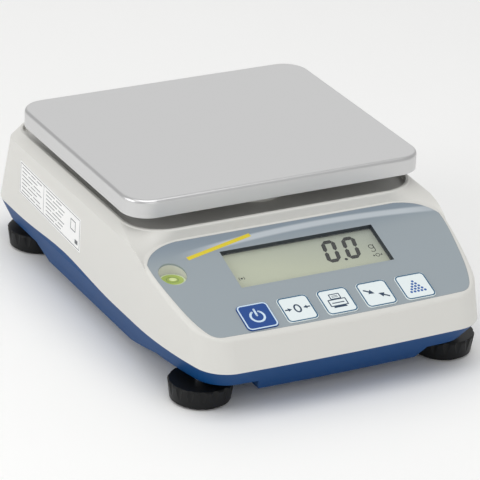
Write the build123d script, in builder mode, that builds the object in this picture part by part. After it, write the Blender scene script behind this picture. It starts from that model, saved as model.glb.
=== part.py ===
"""Compact bench scale: a steel pan on a load cell, in a white housing over a blue base tray.

Millimetres, +Z up, front towards -Y. The origin is on the bench, under the middle of the body.
Heights are measured from the bench. Sizes along the control panel are measured on its slope,
down from the foot of the step below the pan.
"""
from build123d import *
from math import asin, atan2, cos, degrees, radians, sin, tan
import os

os.makedirs("parts", exist_ok=True)

# Whole scale
scale_height = 112.0        # bench to the top of the pan
body_width = 225.0
body_depth = 328.5
parting_height = 32.5       # where the white housing meets the blue tray
wall = 2.5                  # both mouldings
reach_past = 5.0            # cutting blocks run this far past the body

# Pan: one pressed sheet with a skirt
pan_side_margin = 2.5       # sides of the pan inside those of the body
pan_depth = 186.0
pan_skirt = 12.4
pan_sheet = 1.0
pan_corner = 18.0
pan_bend = 2.6
pan_back_shift = 32.75      # middle of the pan behind the middle of the body
pan_lift_gap = 8.7          # skirt to the deck of the housing

# White housing
front_draft = 22.5          # degrees the front wall leans back
rear_draft = 17.5
rear_corner = 24.0
corner_radius = 23.0        # front corners, in plan
cheek_radius = 297.0        # long curve that draws the sides in towards the front
cheek_turn = 14.0
bow_turn = 2.0              # the front edge is a very flat arc
rim_round = 2.6             # round edge of the panel, at the sides and the front
rim_clear = 18.0            # the round edge is looked for this far in front of the step
deck_side_margin = 4.7
deck_front = -64.5
deck_rear_margin = 4.0
deck_corner = 28.0
deck_rear_corner = 20.0
deck_recess = 4.5
deck_rim = 2.6
deck_round = 1.0
deck_round_steps = (1, 0.3, 0)  # heights at which the round lip is drawn, as shares of it
deck_skirt = 21.0           # height of the sloping skirt round the deck
ear_reach = 75.0            # how far the skirt runs forward along the sides
ear_waist = (0.64, 0.5)     # two points of its edge, as shares of the spread and the reach
ear_tip = (0.07, 0.3)
shoulder_slope = 40.0       # degrees off vertical, along the sides of the deck
panel_slope = 19.5
step_height = 6.9           # deck down to the top edge of the panel
step_lean = 2.0
step_overlap = 1.0
arch_rise = 4.0             # the tray rises in the middle of each side
arch_middle = 38.0
arch_half = 78.0

# Blue base tray
tray_bottom = 9.0
tray_side_draft = 21.0
tray_front_draft = 37.0
tray_rear_draft = 28.0
foot_bay_height = 19.0      # underside of the tray over each foot
foot_bay_width = 52.5       # from the side of the body to the step at their inner end
foot_bay_lean = 4.0         # lean of the step at their inner end
foot_bay_overrun = 3.0      # that step is cut this far past its top and its bottom
foot_bay_reach = 34.0       # from the foot's middle to where the ramp starts
front_ramp = 42.0
rear_ramp = 14.0
floor_rib = 1.5
floor_rib_height = 4.0
floor_rib_pitch = 42.0
tongue_gap = 0.15
tongue_wall = 1.3
tongue_height = 2.5

# Feet
foot_side_inset = 22.1      # middle of each foot inside the sides of the body
foot_front_inset = 37.8
foot_rear_inset = 35.5
foot_top_radius = 21.8
foot_base_radius = 20.0
foot_height = 14.0
foot_edge = 1.0
foot_skirt_gap = 1.6        # knob clear of the bench
foot_sole = 2.4
sole_radius = 17.5
foot_grips = 16
foot_grip_radius = 3.4
foot_grip_depth = 1.3
foot_grip_bottom = 5.5
stud_radius = 4.0
stud_length = 21.0
stud_edge = 0.6
thread_gap = 0.06
foot_boss_wall = 4.5
foot_boss_height = 15.0

# Control panel, in the panel's own plane
facia_thickness = 1.2
facia_gap = 0.15
facia_top = 1.7
facia_shoulder_inset = 30.5  # these insets are from the side of the body
facia_ear_inset = 3.3
facia_ear_down = 18.0
facia_mid_inset = 6.1
facia_mid_down = 48.6
facia_low_inset = 13.6
facia_low_down = 80.4
facia_foot_inset = 24.7
facia_foot_down = 90.8
facia_bottom = 92.2
window_width = 116.0
window_height = 37.0
window_down = 34.8
bezel_wall = 1.2
bezel_gap = 0.15
frame_depth = 6.0
frame_wall = 1.5
glass_depth = 3.0
glass_thickness = 1.0
lcd_thickness = 2.8
layer_gap = 0.1
key_size = 22.5
key_corner = 3.2
key_gap = 0.15
key_pitch = 29.2
keys_down = 79.0
key_pad = 0.8               # key above the printed sheet
key_cap_depth = 0.7         # and below its face
key_edge = 0.4
key_stem_radius = 3.0
key_stem_gap = 0.5
switch_size = 6.0
switch_height = 5.0
switch_plunger = 1.5
switch_gap = 0.45
level_x = -96.2
level_down = 29.4
level_radius = 9.2
level_gap = 0.2
level_height = 8.0
level_sink = 0.8
level_edge = 0.6
level_wall = 1.6
level_floor = 1.5

# Weighing mechanism
cell_length = 130.0
cell_width = 30.0
cell_height = 22.0
cell_bottom = 40.0
cell_edge = 1.0
cell_bore_radius = 8.0
cell_bore_spacing = 24.0
cell_slot_height = 5.0
cell_end = 30.0             # length of each clamped end
gauge_width = 12.0
gauge_length = 8.0
gauge_thickness = 0.4
spacer_height = 6.0
cell_screw_radius = 2.5
cell_screw_spacing = 16.0
cell_screw_grip = 15.0
screw_head_radius = 4.25
screw_head_height = 5.0
screw_head_gap = 0.4
screw_gap = 0.08
load_travel = 0.3           # how far the pan sinks before the stop
post_radius = 14.0
post_foot = 8.0             # thickness of the post's foot under its screws
collar_gap = 4.0
collar_wall = 2.5
collar_height = 4.0
arm_height = 6.0
arm_width = 16.0
hub_radius = 26.0
hub_rim = 4.0
buffer_radius = 7.0
buffer_height = 7.0
buffer_edge = 1.2
buffer_peg_radius = 3.0
buffer_inset_x = 24.0
buffer_inset_y = 24.0
stop_radius = 3.0
stop_nut_radius = 5.5
stop_nut_height = 5.0
stop_length = 20.0
stop_gap = 0.4
stop_reach = 12.0           # cell down to the top of the stop's boss
platform_roof = 8.0
platform_margin = 6.0

# Boards and rear sockets
board_depth = 14.0          # face of the display board below the panel
board_thickness = 1.6
board_post_radius = 3.2
board_post_inset = 4.0
board_screw_radius = 1.25
board_screw_grip = 8.0
board_head_radius = 2.4
board_head_height = 1.8
display_board_width = 134.0
display_board_top = 12.0
display_board_bottom = 92.0
board_upper_post = (62.5, 16.5)
board_lower_post = (43.8, 88.0)
main_board_width = 112.0
main_board_depth = 36.0
main_board_shift = 14.0
main_board_gap = 1.0
bay_left = 8.0
bay_width = 76.0
bay_bottom = 38.0
bay_height = 20.0
bay_back = 150.0
bay_corner = 3.0
socket_height = 48.0
socket_rise = 6.0           # middle of the sockets over their board
socket_body_depth = 14.0
socket_gap = 0.15
jack_x = 22.0
jack_body_width = 14.0
jack_radius = 4.6
jack_nose = 0.5
jack_bore_radius = 2.8
jack_bore_depth = 10.0
jack_pin_radius = 1.0
serial_x = 58.0
serial_width = 18.6
serial_height = 10.0
serial_corner = 2.5
serial_nose = 5.0
serial_flange = 2.0
serial_flange_width = 31.0
serial_flange_height = 12.0
serial_screw_spacing = 25.0
serial_screw_radius = 1.5
serial_pin_pitch = 2.8
serial_pin_radius = 0.6
socket_nut_radius = 2.9

# Side label and case screws
label_length = 100.0
label_height = 25.0
label_thickness = 0.35
label_gap = 0.2
label_sink = 0.4
label_middle_y = 62.5
label_middle_z = 60.5
label_tilt = 2.3
case_screw_places = [(52.0, -56.0), (88.0, 30.0), (52.0, 100.0)]
case_screw_radius = 1.6
case_screw_play = 0.3
case_screw_clamp = 10.0
case_screw_grip = 18.0
case_head_radius = 3.1
case_head_height = 3.0
case_boss_radius = 4.5
boss_joint = 26.0           # where the bosses of the two mouldings meet

half_width = body_width / 2
front_y = -body_depth / 2
rear_y = body_depth / 2
pan_width = body_width - 2 * pan_side_margin
deck_width = body_width - 2 * deck_side_margin
front_foot_y = front_y + foot_front_inset
rear_foot_y = rear_y - foot_rear_inset
foot_bay_inner = half_width - foot_bay_width
deck_z = scale_height - pan_skirt - pan_lift_gap
deck_rise = deck_z - parting_height
step_foot_y = deck_front - step_lean * step_height / deck_skirt
step_foot_z = deck_z - step_height
panel_tan = tan(radians(panel_slope))
panel_plane = Plane(
    origin=(0, step_foot_y, step_foot_z),
    x_dir=(1, 0, 0),
    z_dir=(0, -sin(radians(panel_slope)), cos(radians(panel_slope))),
)
panel_axis = Axis((0, 0, 0), panel_plane.z_dir)


def panel_height(y):
    """Height of the panel's face above the bench at a place along Y."""
    return step_foot_z + (y - step_foot_y) * panel_tan


def on_panel(depth):
    """The panel's plane, sunk below its face. Its local y runs up the slope."""
    return panel_plane.offset(-depth)


def on_panel_rim(edge):
    """Whether an edge lies between the panel's face and the outer walls."""
    middle = edge @ 0.5
    return middle.Y < step_foot_y - rim_clear and abs(middle.Z - panel_height(middle.Y)) < 0.1


def save(part, name):
    """Label a finished piece and write it as its own file."""
    part.label = name
    export_step(part, f"parts/{name}.step")


def plan_outline(height, half, front, rear, corner, rear_radius, turn=cheek_turn):
    """Body in plan: straight rear and sides, cheeks that curve in, round front corners, flat bow."""
    turned = radians(turn)
    squared = radians(90 - bow_turn)
    cheek_x = cheek_radius * (1 - cos(turned))
    cheek_y = cheek_radius * sin(turned)
    corner_x = corner * (cos(turned) - cos(squared))
    corner_y = corner * (sin(squared) - sin(turned))
    flat_half = half - cheek_x - corner_x
    bow = flat_half / sin(radians(bow_turn)) * (1 - cos(radians(bow_turn)))
    cheek_start = front + bow + corner_y + cheek_y
    with BuildSketch(Plane.XY.offset(height)) as outline:
        with BuildLine():
            Line((0, rear), (half - rear_radius, rear))
            shoulder = JernArc((half - rear_radius, rear), (1, 0), rear_radius, -90)
            Line(shoulder @ 1, (half, cheek_start))
            cheek = JernArc((half, cheek_start), (0, -1), cheek_radius, -turn)
            around = JernArc(cheek @ 1, cheek % 1, corner, -(90 - bow_turn - turn))
            end = around @ 1
            mirror(about=Plane.YZ)
            ThreePointArc(end, (0, front), (-end.X, end.Y))
        make_face()
    return outline.sketch


def body_outline(height, inset):
    """Outer outline of the body at the parting line, set inwards."""
    return plan_outline(
        height, half_width - inset, front_y + inset, rear_y - inset,
        corner_radius - inset, rear_corner - inset,
    )


def below_parting(shift):
    """Everything below the line where the mouldings meet, which rises in the middle of each side."""
    level = parting_height + shift
    nose, tail = front_y - reach_past, rear_y + reach_past
    start, end = arch_middle - arch_half, arch_middle + arch_half
    with BuildPart() as block:
        with BuildSketch(Plane.YZ):
            with BuildLine():
                Line((nose, level), (start, level))
                Spline((start, level), (arch_middle, level + arch_rise), (end, level), tangents=((1, 0), (1, 0)))
                Polyline((end, level), (tail, level), (tail, -reach_past), (nose, -reach_past), (nose, level))
            make_face()
        extrude(amount=body_width, both=True)
    return block.part


def deck_top(inset):
    """Measures of the deck's outline at its full height, set inwards."""
    half = deck_width / 2 - inset
    rear = rear_y - deck_rise * tan(radians(rear_draft)) - deck_rear_margin - inset
    return half, deck_front + inset, rear, deck_corner - inset, deck_rear_corner - inset


def deck_outline(half, front, rear, corner, rear_radius, height, spread=0):
    """Deck in plan. The skirt below it spreads, most of all forward of its front corners."""
    with BuildSketch(Plane.XY.offset(height)) as outline:
        with BuildLine():
            wide = half + spread
            back = rear + spread
            inner = half - corner
            turn_x = half - rear_radius
            Line((0, back), (turn_x, back))
            rear_turn = JernArc((turn_x, back), (1, 0), rear_radius + spread, -90)
            if spread > 0:
                ear = Spline(
                    (wide, front - ear_reach),
                    (half + ear_waist[0] * spread, front - ear_waist[1] * ear_reach),
                    (half + ear_tip[0] * spread, front - ear_tip[1] * ear_reach),
                    (inner - step_lean, front - step_lean),
                    tangents=((-0.05, 1), (-1, 0.2)),
                )
                Line(rear_turn @ 1, ear @ 0)
                mirror(about=Plane.YZ)
                Line(ear @ 1, (-(ear @ 1).X, (ear @ 1).Y))
            else:
                start = (half, front + corner)
                front_turn = JernArc(start, (0, -1), corner, -90)
                Line(rear_turn @ 1, start)
                mirror(about=Plane.YZ)
                Line(front_turn @ 1, (-inner, front))
        make_face()
    return outline.sketch


def walls_form(inset):
    """The leaning walls of the white housing, from the parting line to the height of the deck."""
    back = deck_rise * tan(radians(rear_draft))
    forward = deck_rise * tan(radians(front_draft))
    upper_turn = degrees(asin(sin(radians(cheek_turn)) - forward / cheek_radius))
    with BuildPart() as walls:
        add(body_outline(parting_height, inset))
        add(plan_outline(
            deck_z, half_width - inset, front_y + forward + inset, rear_y - back - inset,
            corner_radius - inset, rear_corner - inset, upper_turn,
        ))
        loft(ruled=True)
    return walls.part


def housing_form(inset):
    """Solid form of the white housing, every face set inwards."""
    spread = deck_skirt * tan(radians(shoulder_slope))
    skirt_foot = deck_z - deck_skirt - inset
    drop = inset / cos(radians(panel_slope))
    nose, tail = front_y - reach_past, rear_y + reach_past
    behind_step = step_foot_y + step_overlap
    with BuildPart() as form:
        add(deck_outline(*deck_top(inset), skirt_foot, spread))
        for share in deck_round_steps:
            rounded_back = deck_top(inset + (1 - share) ** 2 * deck_round)
            add(deck_outline(*rounded_back, deck_z - inset - share * deck_round))
        loft(ruled=True)
        with BuildSketch(Plane.YZ):
            with BuildLine():
                Polyline(
                    (nose, parting_height), (nose, panel_height(nose) - drop),
                    (behind_step, panel_height(behind_step) - drop), (behind_step, skirt_foot),
                    (tail, skirt_foot), (tail, parting_height), close=True,
                )
            make_face()
        extrude(amount=body_width, both=True)
        add(walls_form(inset), mode=Mode.INTERSECT)
    return form.part


def tray_form(inset):
    """Solid form of the blue tray, every face set inwards."""
    floor = tray_bottom + inset
    depth = parting_height - floor
    with BuildPart() as form:
        add(body_outline(parting_height, inset))
        add(plan_outline(
            floor, half_width - inset - depth * tan(radians(tray_side_draft)),
            front_y + inset + depth * tan(radians(tray_front_draft)),
            rear_y - inset - depth * tan(radians(tray_rear_draft)),
            corner_radius - inset, rear_corner - inset,
        ))
        loft(ruled=True)
        extrude(body_outline(parting_height, inset), amount=arch_rise)
    return form.part


def foot_bays(grow):
    """The space for the feet under the four corners of the tray, with ramps up into it."""
    front_bay = front_foot_y + foot_bay_reach
    rear_bay = rear_foot_y - foot_bay_reach
    nose, tail = front_y - reach_past, rear_y + reach_past
    low_end = foot_bay_inner - foot_bay_overrun
    high = foot_bay_height + foot_bay_overrun
    with BuildPart() as bays:
        with BuildSketch(Plane.YZ):
            with BuildLine():
                Polyline(
                    (nose, -reach_past), (nose, foot_bay_height), (front_bay, foot_bay_height),
                    (front_bay + front_ramp, tray_bottom), (front_bay + front_ramp, -reach_past), close=True,
                )
            make_face()
            with BuildLine():
                Polyline(
                    (tail, -reach_past), (tail, foot_bay_height), (rear_bay, foot_bay_height),
                    (rear_bay - rear_ramp, tray_bottom), (rear_bay - rear_ramp, -reach_past), close=True,
                )
            make_face()
            offset(amount=grow, kind=Kind.INTERSECTION)
        extrude(amount=body_width, both=True)
        with BuildSketch(Plane.XZ):
            with BuildLine():
                Polyline(
                    (low_end, -reach_past), (low_end, tray_bottom - foot_bay_overrun),
                    (foot_bay_inner + foot_bay_lean, high), (body_width, high),
                    (body_width, -reach_past), close=True,
                )
            make_face()
            offset(amount=grow, kind=Kind.INTERSECTION)
            mirror(about=Plane.YZ)
        extrude(amount=body_depth, both=True, mode=Mode.INTERSECT)
    return bays.part


def facia_outline(grow):
    """Outline of the printed sheet on the panel, let out all round. Local y runs up the slope."""
    reach = half_width + grow
    with BuildSketch() as outline:
        with BuildLine():
            shoulder = (half_width - facia_shoulder_inset, grow - facia_top)
            Line((0, grow - facia_top), shoulder)
            ear = Spline(
                shoulder, (reach - facia_ear_inset, -facia_ear_down), tangents=((1, -0.12), (0.5, -1)),
            )
            side = Spline(
                ear @ 1, (reach - facia_mid_inset, -facia_mid_down), (reach - facia_low_inset, -facia_low_down),
                tangents=((0.05, -1), (-0.4, -1)),
            )
            foot = Spline(
                side @ 1, (half_width - facia_foot_inset, -facia_foot_down - grow),
                tangents=((-0.4, -1), (-1, -0.06)),
            )
            mirror(about=Plane.YZ)
            ThreePointArc(foot @ 1, (0, -facia_bottom - grow), (-(foot @ 1).X, (foot @ 1).Y))
        make_face()
    return outline.sketch


post_y = pan_back_shift - cell_length / 2 + cell_end / 2
anchor_y = pan_back_shift + cell_length / 2 - cell_end / 2
cell_top = cell_bottom + cell_height
recess_floor = deck_z - deck_recess
recess_underside = recess_floor - wall
case_seat = boss_joint - case_screw_clamp
case_screw_spots = [(side * x, y) for x, y in case_screw_places for side in (-1, 1)]
foot_spots = [
    (side * (half_width - foot_side_inset), y) for y in (front_foot_y, rear_foot_y) for side in (-1, 1)
]
window_spot = (0, -window_down)
sight_width, sight_height = window_width - 2 * bezel_wall, window_height - 2 * bezel_wall
key_names = ["power", "zero", "print", "unit", "count"]
key_spots = [(step * key_pitch, -keys_down) for step in range(-2, 3)]
stem_foot = board_depth - switch_height - switch_gap
board_spots = [
    (side * x, -down) for x, down in (board_upper_post, board_lower_post) for side in (-1, 1)
]
level_y = step_foot_y - level_down * cos(radians(panel_slope))
level_seat = panel_height(level_y - level_radius) - level_sink - level_height
label_plane = Plane(
    origin=(-half_width, label_middle_y, label_middle_z),
    x_dir=(0, -cos(radians(label_tilt)), -sin(radians(label_tilt))),
    z_dir=(-1, 0, 0),
)
bay_middle_x = bay_left + bay_width / 2
bay_middle_z = bay_bottom + bay_height / 2
main_board_top = socket_height - socket_rise
main_board_x = bay_middle_x - main_board_shift
main_board_y = bay_back - wall - main_board_gap - main_board_depth / 2
main_board_spots = [
    (main_board_x + side * (main_board_width / 2 - board_post_inset),
     main_board_y + end * (main_board_depth / 2 - board_post_inset))
    for end in (-1, 1) for side in (-1, 1)
]


def foot_knob(spot):
    """Ribbed knob of one levelling foot, hollow below for its rubber sole."""
    with BuildPart() as knob:
        with BuildSketch(Plane.XY.offset(foot_skirt_gap)) as lower:
            with Locations(spot):
                Circle(foot_base_radius)
        with BuildSketch(Plane.XY.offset(foot_height)) as upper:
            with Locations(spot):
                Circle(foot_top_radius)
        loft()
        chamfer(knob.faces().sort_by(Axis.Z)[-1].edges(), foot_edge)
        with BuildSketch(Plane.XY.offset(foot_grip_bottom)):
            with Locations(spot):
                with PolarLocations(foot_top_radius + foot_grip_radius - foot_grip_depth, foot_grips):
                    Circle(foot_grip_radius)
        extrude(amount=foot_height, mode=Mode.SUBTRACT)
        with BuildSketch(Plane.XY.offset(foot_skirt_gap)):
            with Locations(spot):
                Circle(sole_radius)
        extrude(amount=foot_sole - foot_skirt_gap, mode=Mode.SUBTRACT)
        with BuildSketch(Plane.XY.offset(foot_sole)):
            with Locations(spot):
                Circle(stud_radius)
        extrude(amount=foot_height, mode=Mode.SUBTRACT)
    return knob.part


# Pan: a pressed sheet that lifts off
with BuildPart() as pan:
    with BuildSketch(Plane.XY.offset(scale_height)):
        with Locations((0, pan_back_shift)):
            RectangleRounded(pan_width, pan_depth, pan_corner)
    extrude(amount=-pan_skirt)
    fillet(pan.faces().sort_by(Axis.Z)[-1].edges(), pan_bend)
    offset(amount=-pan_sheet, openings=pan.faces().sort_by(Axis.Z)[0])
save(pan.part, "pan")

# Four rubber buffers that the pan rests on
buffer_grid = pan_width - 2 * buffer_inset_x, pan_depth - 2 * buffer_inset_y, 2, 2
buffer_top = scale_height - pan_sheet
arm_top = buffer_top - buffer_height
with BuildPart() as pan_buffers:
    with BuildSketch(Plane.XY.offset(arm_top)):
        with Locations((0, pan_back_shift)):
            with GridLocations(*buffer_grid):
                Circle(buffer_radius)
    extrude(amount=buffer_height)
    fillet(pan_buffers.faces().group_by(Axis.Z)[-1].edges(), buffer_edge)
    with BuildSketch(Plane.XY.offset(arm_top)):
        with Locations((0, pan_back_shift)):
            with GridLocations(*buffer_grid):
                Circle(buffer_peg_radius)
    extrude(amount=-arm_height)
save(pan_buffers.part, "pan_buffers")

# Cast carrier: crossed arms, a spine over the cell and the post that comes down through the deck
arm_bottom = arm_top - arm_height
arm_reach_x = pan_width / 2 - buffer_inset_x
arm_reach_y = pan_depth / 2 - buffer_inset_y
arm_run = (arm_reach_x ** 2 + arm_reach_y ** 2) ** 0.5
arm_turn = degrees(atan2(arm_reach_y, arm_reach_x))
with BuildPart() as pan_carrier:
    with BuildSketch(Plane.XY.offset(arm_bottom)):
        with Locations((0, pan_back_shift)):
            for turn in (arm_turn, -arm_turn):
                SlotCenterToCenter(2 * arm_run, arm_width, rotation=turn)
            Circle(hub_radius)
        with Locations((0, (pan_back_shift + post_y) / 2)):
            SlotCenterToCenter(pan_back_shift - post_y, 2 * post_radius, rotation=90)
    extrude(amount=arm_height)
    with BuildSketch(Plane.XY.offset(cell_top + load_travel)):
        with Locations((0, post_y)):
            Circle(post_radius)
    extrude(amount=arm_bottom - cell_top - load_travel)
    with BuildSketch(Plane.XY.offset(arm_top)):
        with Locations((0, pan_back_shift)):
            Circle(hub_radius - hub_rim)
            Circle(hub_radius / 3, mode=Mode.SUBTRACT)
    extrude(amount=-arm_height / 2, mode=Mode.SUBTRACT)
    with BuildSketch(Plane.XY.offset(arm_top)):
        with Locations((0, pan_back_shift)):
            with GridLocations(*buffer_grid):
                Circle(buffer_peg_radius)
    extrude(amount=-arm_height, mode=Mode.SUBTRACT)
    with BuildSketch(Plane.XY.offset(arm_top)):
        with Locations((0, post_y)):
            with GridLocations(cell_screw_spacing, 0, 2, 1):
                Circle(screw_head_radius + screw_head_gap)
    extrude(amount=cell_top + load_travel + post_foot - arm_top, mode=Mode.SUBTRACT)
    with BuildSketch(Plane.XY.offset(cell_top)):
        with Locations((0, post_y)):
            with GridLocations(cell_screw_spacing, 0, 2, 1):
                Circle(cell_screw_radius + screw_gap)
    extrude(amount=post_foot + 1, mode=Mode.SUBTRACT)
save(pan_carrier.part, "pan_carrier")


def cap_screws(plane, spots, radius, length, head_radius, head_height):
    """Socket head screws whose heads stand on the plane and whose shanks run against its normal."""
    with BuildPart() as screws:
        with BuildSketch(plane):
            with Locations(*spots):
                Circle(head_radius)
        extrude(amount=head_height)
        with BuildSketch(plane.offset(head_height)):
            with Locations(*spots):
                RegularPolygon(head_radius / 2, 6)
        extrude(amount=-head_height / 2, mode=Mode.SUBTRACT)
        with BuildSketch(plane):
            with Locations(*spots):
                Circle(radius)
        extrude(amount=-length)
    return screws.part


# Screws that hold the carrier on the free end of the cell
carrier_spots = [(side * cell_screw_spacing / 2, post_y) for side in (-1, 1)]
carrier_seat = cell_top + load_travel + post_foot
carrier_screws = cap_screws(
    Plane.XY.offset(carrier_seat), carrier_spots, cell_screw_radius,
    post_foot + load_travel + cell_screw_grip,
    screw_head_radius, screw_head_height,
)
save(carrier_screws, "carrier_screws")

# Load cell: an aluminium bar with the twin bore that lets its free end sink
cell_middle = cell_bottom + cell_height / 2
anchor_spots = [(side * cell_screw_spacing / 2, anchor_y) for side in (-1, 1)]
with BuildPart() as load_cell:
    with BuildSketch(Plane.XY.offset(cell_bottom)):
        with Locations((0, pan_back_shift)):
            Rectangle(cell_width, cell_length)
    extrude(amount=cell_height)
    chamfer(load_cell.edges().filter_by(Axis.Y), cell_edge)
    with BuildSketch(Plane.YZ):
        with Locations((pan_back_shift, cell_middle)):
            with GridLocations(cell_bore_spacing, 0, 2, 1):
                Circle(cell_bore_radius)
            Rectangle(cell_bore_spacing, cell_slot_height)
    extrude(amount=cell_width, both=True, mode=Mode.SUBTRACT)
    with BuildSketch(Plane.XY.offset(cell_bottom)):
        with Locations(*carrier_spots, *anchor_spots):
            Circle(cell_screw_radius + screw_gap)
    extrude(amount=cell_height, mode=Mode.SUBTRACT)
save(load_cell.part, "load_cell")

# Gauges bonded over the thin places of the cell, above and below
with BuildPart() as strain_gauges:
    for plane in (Plane.XY.offset(cell_top), Plane.XY.offset(cell_bottom - gauge_thickness)):
        with BuildSketch(plane):
            with Locations((0, pan_back_shift)):
                with GridLocations(0, cell_bore_spacing, 1, 2):
                    RectangleRounded(gauge_width, gauge_length, gauge_width / 6)
        extrude(amount=gauge_thickness)
save(strain_gauges.part, "strain_gauges")

# Spacer under the fixed end, and its screws, which come up from below through the platform
platform_top = cell_bottom - spacer_height
with BuildPart() as cell_spacer:
    with BuildSketch(Plane.XY.offset(platform_top)):
        with Locations((0, anchor_y)):
            RectangleRounded(cell_width, cell_end, cell_edge * 2)
        with Locations(*anchor_spots):
            Circle(cell_screw_radius + screw_gap, mode=Mode.SUBTRACT)
    extrude(amount=spacer_height)
save(cell_spacer.part, "cell_spacer")

anchor_seat = platform_top - platform_roof
anchor_plane = Plane(origin=(0, 0, anchor_seat), x_dir=(-1, 0, 0), z_dir=(0, 0, -1))
cell_screws = cap_screws(
    anchor_plane, [(-x, y) for x, y in anchor_spots], cell_screw_radius,
    platform_roof + spacer_height + cell_screw_grip,
    screw_head_radius, screw_head_height,
)
save(cell_screws, "cell_screws")

# Stop under the free end: a set screw with its lock nut, in a boss of the tray
stop_boss_top = cell_bottom - stop_reach
with BuildPart() as overload_stop:
    with BuildSketch(Plane.XY.offset(cell_bottom - stop_gap)):
        with Locations((0, post_y)):
            Circle(stop_radius)
    extrude(amount=-stop_length)
    with BuildSketch(Plane.XY.offset(stop_boss_top)):
        with Locations((0, post_y)):
            RegularPolygon(stop_nut_radius, 6)
    extrude(amount=stop_nut_height)
save(overload_stop.part, "overload_stop")

# White housing: a moulded shell with the sunk deck, the sloping panel and the socket bay
with BuildPart() as housing_inside:
    extrude(deck_outline(*deck_top(deck_rim / 2), recess_underside), amount=deck_recess)
    # Bosses for the case screws
    with BuildSketch(Plane.XY.offset(boss_joint)):
        with Locations(*case_screw_spots):
            Circle(case_boss_radius)
    extrude(amount=recess_floor - boss_joint)
    # Walls of the bay for the rear sockets
    with BuildSketch(Plane.XZ.offset(wall - bay_back)):
        with Locations((bay_middle_x, bay_middle_z)):
            Rectangle(bay_width + 2 * wall, bay_height + 2 * wall)
    extrude(amount=bay_back - wall - rear_y)
    # Posts for the display board, and the frame round the display
    with BuildSketch(on_panel(board_depth)):
        with Locations(*board_spots):
            Circle(board_post_radius)
    extrude(amount=board_depth)
    with BuildSketch(on_panel(frame_depth)):
        with Locations(window_spot):
            Rectangle(window_width + 2 * frame_wall, window_height + 2 * frame_wall)
    extrude(amount=frame_depth)
    # Cup for the level
    with BuildSketch(Plane.XY.offset(level_seat - level_floor)):
        with Locations((level_x, level_y)):
            Circle(level_radius + level_gap + level_wall)
    extrude(amount=level_height + level_floor + 2 * level_radius)
    add(housing_form(0), mode=Mode.INTERSECT)

with BuildPart() as top_housing:
    add(housing_form(0))
    panel_rim = top_housing.edges().filter_by(on_panel_rim)
    fillet(panel_rim, rim_round)
    add(housing_form(wall), mode=Mode.SUBTRACT)
    add(housing_inside.part)
    extrude(deck_outline(*deck_top(deck_rim), recess_floor), amount=deck_recess + 1, mode=Mode.SUBTRACT)
    # Collar that keeps a spill on the deck out of the mechanism
    with BuildSketch(Plane.XY.offset(recess_floor)):
        with Locations((0, post_y)):
            Circle(post_radius + collar_gap + collar_wall)
    extrude(amount=collar_height)
    with BuildSketch(Plane.XY.offset(recess_underside)):
        with Locations((0, post_y)):
            Circle(post_radius + collar_gap)
    extrude(amount=scale_height, mode=Mode.SUBTRACT)
    with BuildSketch(Plane.XY.offset(boss_joint)):
        with Locations(*case_screw_spots):
            Circle(case_screw_radius + screw_gap)
    extrude(amount=case_screw_grip + wall, mode=Mode.SUBTRACT)
    # Rear bay and the holes in its back wall
    with BuildSketch(Plane.XZ.offset(-bay_back)):
        with Locations((bay_middle_x, bay_middle_z)):
            RectangleRounded(bay_width, bay_height, bay_corner)
    extrude(amount=bay_back - rear_y, mode=Mode.SUBTRACT)
    with BuildSketch(Plane.XZ.offset(wall - bay_back)):
        with Locations((jack_x, socket_height)):
            Circle(jack_radius + socket_gap)
        with Locations((serial_x, socket_height)):
            RectangleRounded(serial_width + 2 * socket_gap, serial_height + 2 * socket_gap, serial_corner)
            with GridLocations(serial_screw_spacing, 0, 2, 1):
                Circle(serial_screw_radius + screw_gap)
    extrude(amount=-wall, mode=Mode.SUBTRACT)
    # Seat of the printed sheet, the window and the holes for the keys
    with BuildSketch(on_panel(facia_thickness)):
        add(facia_outline(facia_gap))
    extrude(amount=2 * facia_thickness, mode=Mode.SUBTRACT)
    with BuildSketch(on_panel(board_depth)):
        with Locations(*board_spots):
            Circle(board_screw_radius + screw_gap)
    extrude(amount=board_screw_grip, mode=Mode.SUBTRACT)
    with BuildSketch(on_panel(frame_depth)):
        with Locations(window_spot):
            Rectangle(window_width + 2 * bezel_gap, window_height + 2 * bezel_gap)
        with Locations(*key_spots):
            Circle(key_stem_radius + key_stem_gap)
    extrude(amount=frame_depth, mode=Mode.SUBTRACT)
    with BuildSketch(Plane.XY.offset(level_seat)):
        with Locations((level_x, level_y)):
            Circle(level_radius + level_gap)
    extrude(amount=scale_height, mode=Mode.SUBTRACT)
    # Sunk place for the side label
    with BuildSketch(label_plane):
        Rectangle(label_length + 2 * label_gap, label_height + 2 * label_gap)
    extrude(amount=-label_sink, mode=Mode.SUBTRACT)
    add(below_parting(0), mode=Mode.SUBTRACT)
save(top_housing.part, "top_housing")

# Blue tray: the lower shell, with the bays for the feet and everything that stands on its floor
with BuildPart() as tray_solid:
    add(tray_form(0))
    add(below_parting(0), mode=Mode.INTERSECT)
    add(foot_bays(0), mode=Mode.SUBTRACT)

with BuildPart() as tray_cavity:
    add(tray_form(wall))
    extrude(body_outline(parting_height + arch_rise, wall), amount=2)
    add(foot_bays(wall), mode=Mode.SUBTRACT)

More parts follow.
